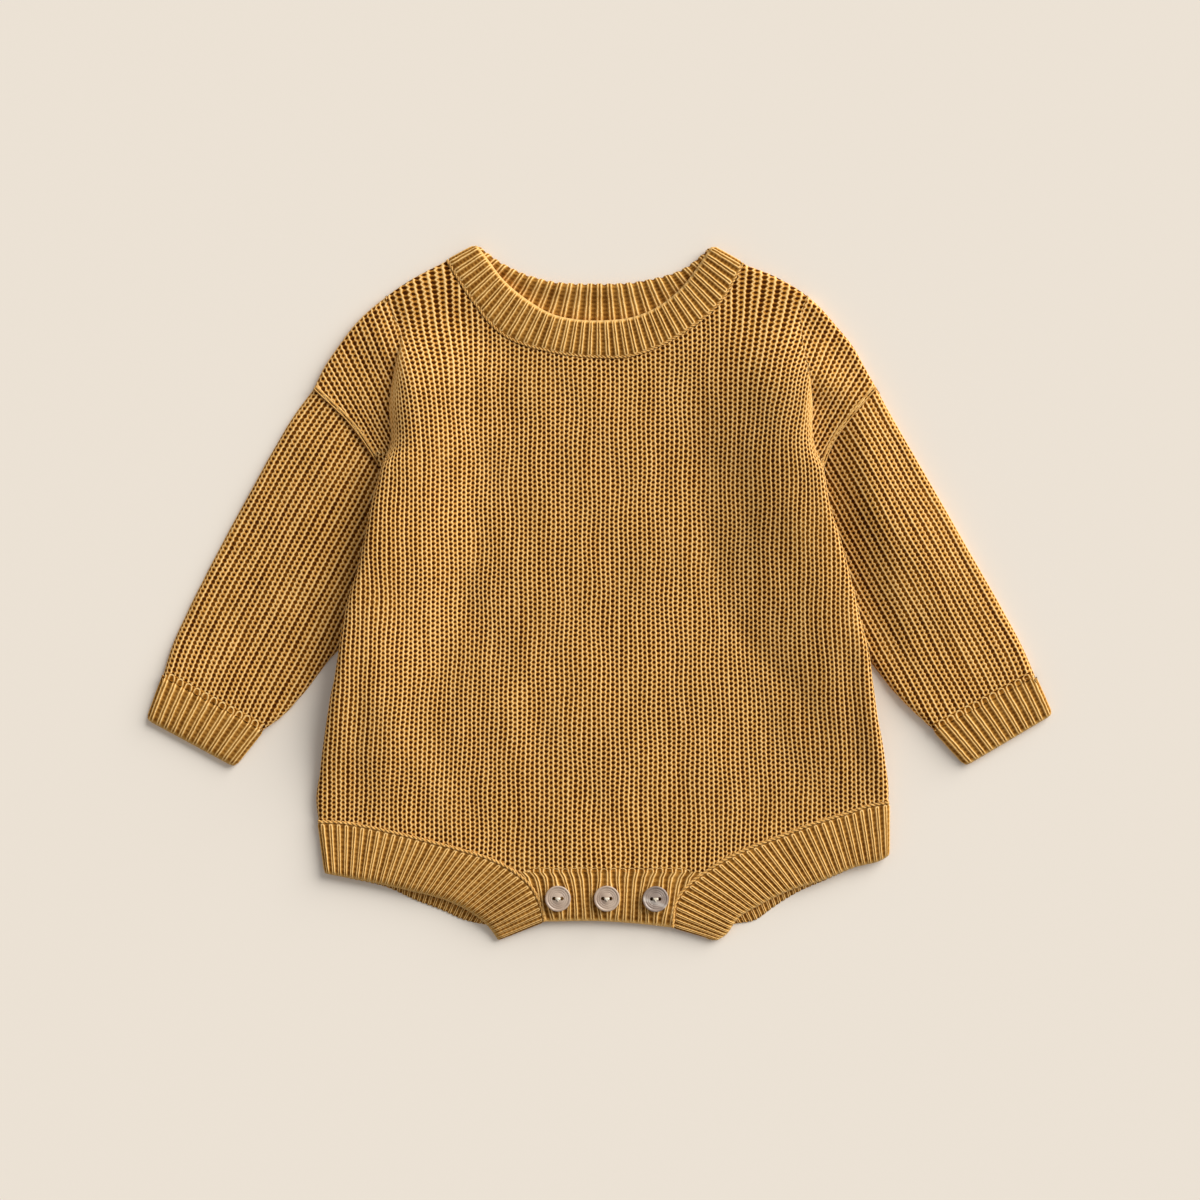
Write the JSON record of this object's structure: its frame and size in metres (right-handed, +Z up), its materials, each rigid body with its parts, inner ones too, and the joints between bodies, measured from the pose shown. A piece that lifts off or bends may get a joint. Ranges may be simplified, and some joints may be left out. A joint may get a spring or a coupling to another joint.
{
  "type": "baby romper",
  "caption": "Long-sleeved baby romper in chunky ribbed knit, laid flat front up, with a crew neck, ribbed cuffs and leg bands, and a buttoned crotch placket.",
  "frame": {"origin": "centre of the outline, on the surface that the garment lies on", "axes": "+X across the chest from cuff to cuff, +Y towards the neck, +Z up off the surface, out of the garment's front"},
  "size_m": [0.4535, 0.3481, 0.0111],
  "materials": {
    "body_knit": "mustard cotton yarn in a chunky half-cardigan rib",
    "rib_knit": "mustard cotton yarn in a one by one rib",
    "button_taupe": "warm taupe, satin, turned",
    "button_grey": "grey with a pearly streak, satin, turned"
  },
  "bodies": {
    "root": {"front_panel": "body_knit", "back_panel": "body_knit", "sleeve_l": "body_knit", "sleeve_r": "body_knit", "cuff_l": "rib_knit", "cuff_r": "rib_knit", "neckband": "rib_knit", "leg_band_l": "rib_knit", "leg_band_r": "rib_knit", "placket_front": "rib_knit", "placket_back": "rib_knit", "button_1": "button_taupe", "button_2": "button_taupe", "button_3": "button_grey"}
  },
  "joints": []
}
